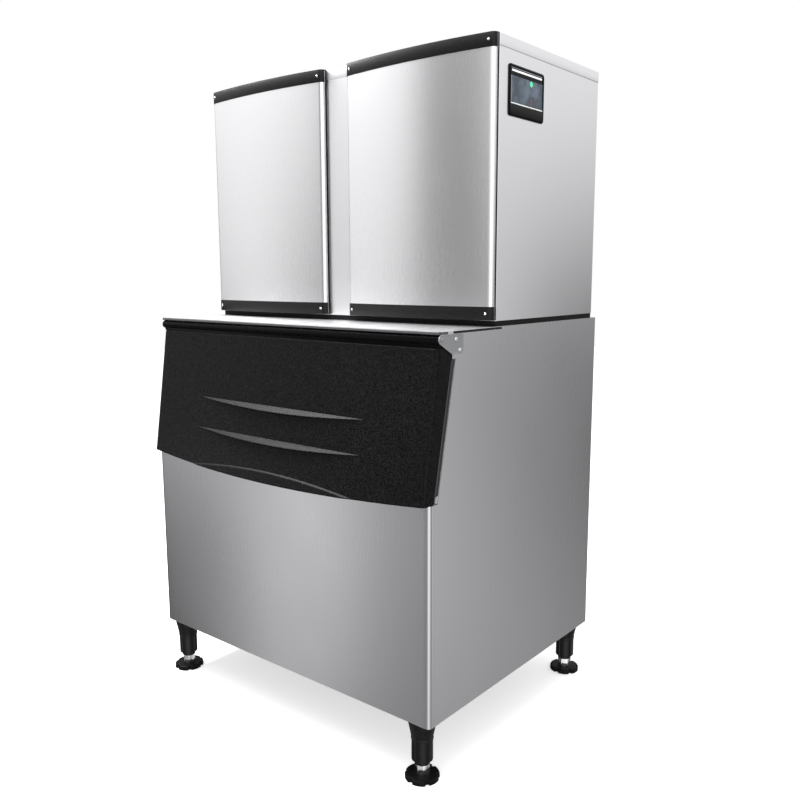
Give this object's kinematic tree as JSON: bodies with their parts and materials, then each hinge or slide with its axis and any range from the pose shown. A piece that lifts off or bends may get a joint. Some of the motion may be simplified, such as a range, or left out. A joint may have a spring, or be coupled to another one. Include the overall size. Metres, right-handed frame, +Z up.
{
  "type": "modular ice machine",
  "caption": "Cube ice maker with bowed stainless front panels, standing on an insulated storage bin with a lift-up moulded door and levelling legs.",
  "frame": {"origin": "bottom centre of the bounding box, on the floor", "axes": "+Z up, +X to the machine's right as seen from the front, -Y towards the front with the door"},
  "size_m": [1.2316, 1.0082, 2.097],
  "materials": {
    "stainless_panel": "fine satin, vertical grain",
    "stainless_case": "satin",
    "stainless_bin": "satin",
    "bracket_steel": "matt, speckled",
    "screw_steel": "polished",
    "door_plastic": "fine moulded grain",
    "door_rail_plastic": "smooth",
    "door_liner_plastic": "smooth",
    "black_trim": "smooth",
    "grey_trim": "smooth",
    "cap_plastic": "fine grain",
    "gasket_rubber": "matt",
    "leg_paint": "semi-gloss",
    "stem_chrome": "polished",
    "pad_rubber": "matt",
    "display_plastic": "gloss",
    "display_glass": "gloss",
    "bin_liner_plastic": "smooth",
    "foam": "cellular",
    "evaporator_plate": "nickel plated",
    "white_plastic": "smooth",
    "compressor_paint": "semi-gloss",
    "coil_aluminium": "plain",
    "fan_plastic": "smooth",
    "box_paint": "matt",
    "inlet_brass": "machined"
  },
  "bodies": {
    "cabinet": {"bin_back_panel": "stainless_bin", "bin_base_panel": "stainless_bin", "bin_drain_fitting": "bin_liner_plastic", "bin_front_panel": "stainless_bin", "bin_insulation": "foam", "bin_liner": "bin_liner_plastic", "bin_side_panel_left": "stainless_bin", "bin_side_panel_right": "stainless_bin", "cap_screws": "screw_steel", "compartment_wall": "stainless_case", "compressor": "compressor_paint", "condenser_coil": "coil_aluminium", "control_box": "box_paint", "deck_edge_strips": "black_trim", "deck_nose_strip": "grey_trim", "display_frame": "display_plastic", "display_screen": "display_glass", "evaporator_left": "evaporator_plate", "evaporator_right": "evaporator_plate", "fan_motor": "compressor_paint", "fan_shroud": "fan_plastic", "front_panel_left": "stainless_panel", "front_panel_right": "stainless_panel", "head_base": "stainless_case", "head_front_post": "stainless_case", "head_gasket": "gasket_rubber", "head_rear_panel": "stainless_case", "head_side_panel_left": "stainless_case", "head_side_panel_right": "stainless_case", "head_top_cover": "stainless_case", "hinge_bracket_left": "bracket_steel", "hinge_bracket_right": "bracket_steel", "hinge_screws": "screw_steel", "leg_front_left": "leg_paint", "leg_front_right": "leg_paint", "leg_rear_left": "leg_paint", "leg_rear_right": "leg_paint", "panel_cap_bottom_left": "cap_plastic", "panel_cap_bottom_right": "cap_plastic", "panel_cap_top_left": "cap_plastic", "panel_cap_top_right": "cap_plastic", "top_deck": "stainless_bin", "water_distributors": "white_plastic", "water_inlet": "inlet_brass", "water_pump": "white_plastic", "water_trough": "white_plastic"},
    "door": {"door_outer_shell": "door_plastic", "door_inner_liner": "door_liner_plastic", "door_top_rail": "door_rail_plastic"},
    "fan": {"fan_blade": "fan_plastic"},
    "curtain_left": {"water_curtain_left": "white_plastic"},
    "curtain_right": {"water_curtain_right": "white_plastic"},
    "foot_front_left": {"foot_pad_front_left": "pad_rubber", "foot_stem_front_left": "stem_chrome"},
    "foot_front_right": {"foot_pad_front_right": "pad_rubber", "foot_stem_front_right": "stem_chrome"},
    "foot_rear_left": {"foot_pad_rear_left": "pad_rubber", "foot_stem_rear_left": "stem_chrome"},
    "foot_rear_right": {"foot_pad_rear_right": "pad_rubber", "foot_stem_rear_right": "stem_chrome"}
  },
  "joints": [
    {"name": "door_hinge", "type": "hinge", "parent": "cabinet", "child": "door", "pos_m": [0, -0.39684, 1.272], "axis": [-1, 0, 0], "range_deg": [0, 110]},
    {"name": "fan_spin", "type": "hinge", "parent": "cabinet", "child": "fan", "pos_m": [0.39, 0.36816, 1.6], "axis": [0, 1, 0], "continuous": true},
    {"name": "curtain_left_hinge", "type": "hinge", "parent": "cabinet", "child": "curtain_left", "pos_m": [-0.41, 0.37216, 1.95], "axis": [-1, 0, 0], "range_deg": [0, 30]},
    {"name": "curtain_right_hinge", "type": "hinge", "parent": "cabinet", "child": "curtain_right", "pos_m": [-0.065, 0.37216, 1.95], "axis": [-1, 0, 0], "range_deg": [0, 30]},
    {"name": "foot_front_left_screw", "type": "slide", "parent": "cabinet", "child": "foot_front_left", "axis": [0, 0, -1], "range_m": [0, 0.025]},
    {"name": "foot_front_right_screw", "type": "slide", "parent": "cabinet", "child": "foot_front_right", "axis": [0, 0, -1], "range_m": [0, 0.025]},
    {"name": "foot_rear_left_screw", "type": "slide", "parent": "cabinet", "child": "foot_rear_left", "axis": [0, 0, -1], "range_m": [0, 0.025]},
    {"name": "foot_rear_right_screw", "type": "slide", "parent": "cabinet", "child": "foot_rear_right", "axis": [0, 0, -1], "range_m": [0, 0.025]}
  ]
}
